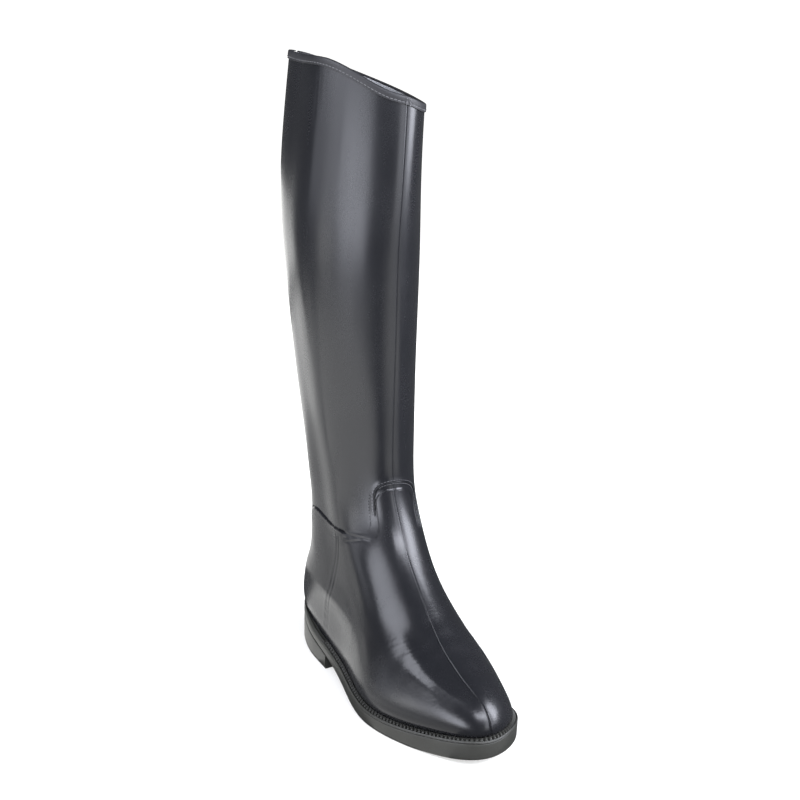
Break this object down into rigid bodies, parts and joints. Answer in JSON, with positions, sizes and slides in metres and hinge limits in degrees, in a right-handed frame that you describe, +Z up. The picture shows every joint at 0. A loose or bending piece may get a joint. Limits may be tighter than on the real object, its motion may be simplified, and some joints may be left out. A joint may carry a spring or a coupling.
{
  "type": "rubber riding boot",
  "caption": "Tall moulded rubber riding boot for the right foot, with an elastic gusset at the back of the shaft, a bound collar, a welted sole and a low heel.",
  "frame": {"origin": "on the floor under the middle of the bounding box", "axes": "+Z up the shaft, -Y towards the toe, -X towards the wearer's outer (right) side"},
  "size_m": [0.1039, 0.3012, 0.5111],
  "materials": {
    "rubber": "moulded rubber, satin gloss, black",
    "binding": "folded rubber strip with stitching, satin, black",
    "elastic": "fine ribbed elastic textile, matt, charcoal",
    "sole": "moulded sole rubber, dull satin, black",
    "footbed": "knit over foam, matt, grey",
    "lining": "fine knit lining, matt, grey"
  },
  "bodies": {
    "root": {"upper": "rubber", "gusset": "elastic", "collar_binding": "binding", "back_stay": "binding", "welt": "sole", "outsole": "sole", "heel": "sole", "insole": "footbed"}
  },
  "joints": []
}
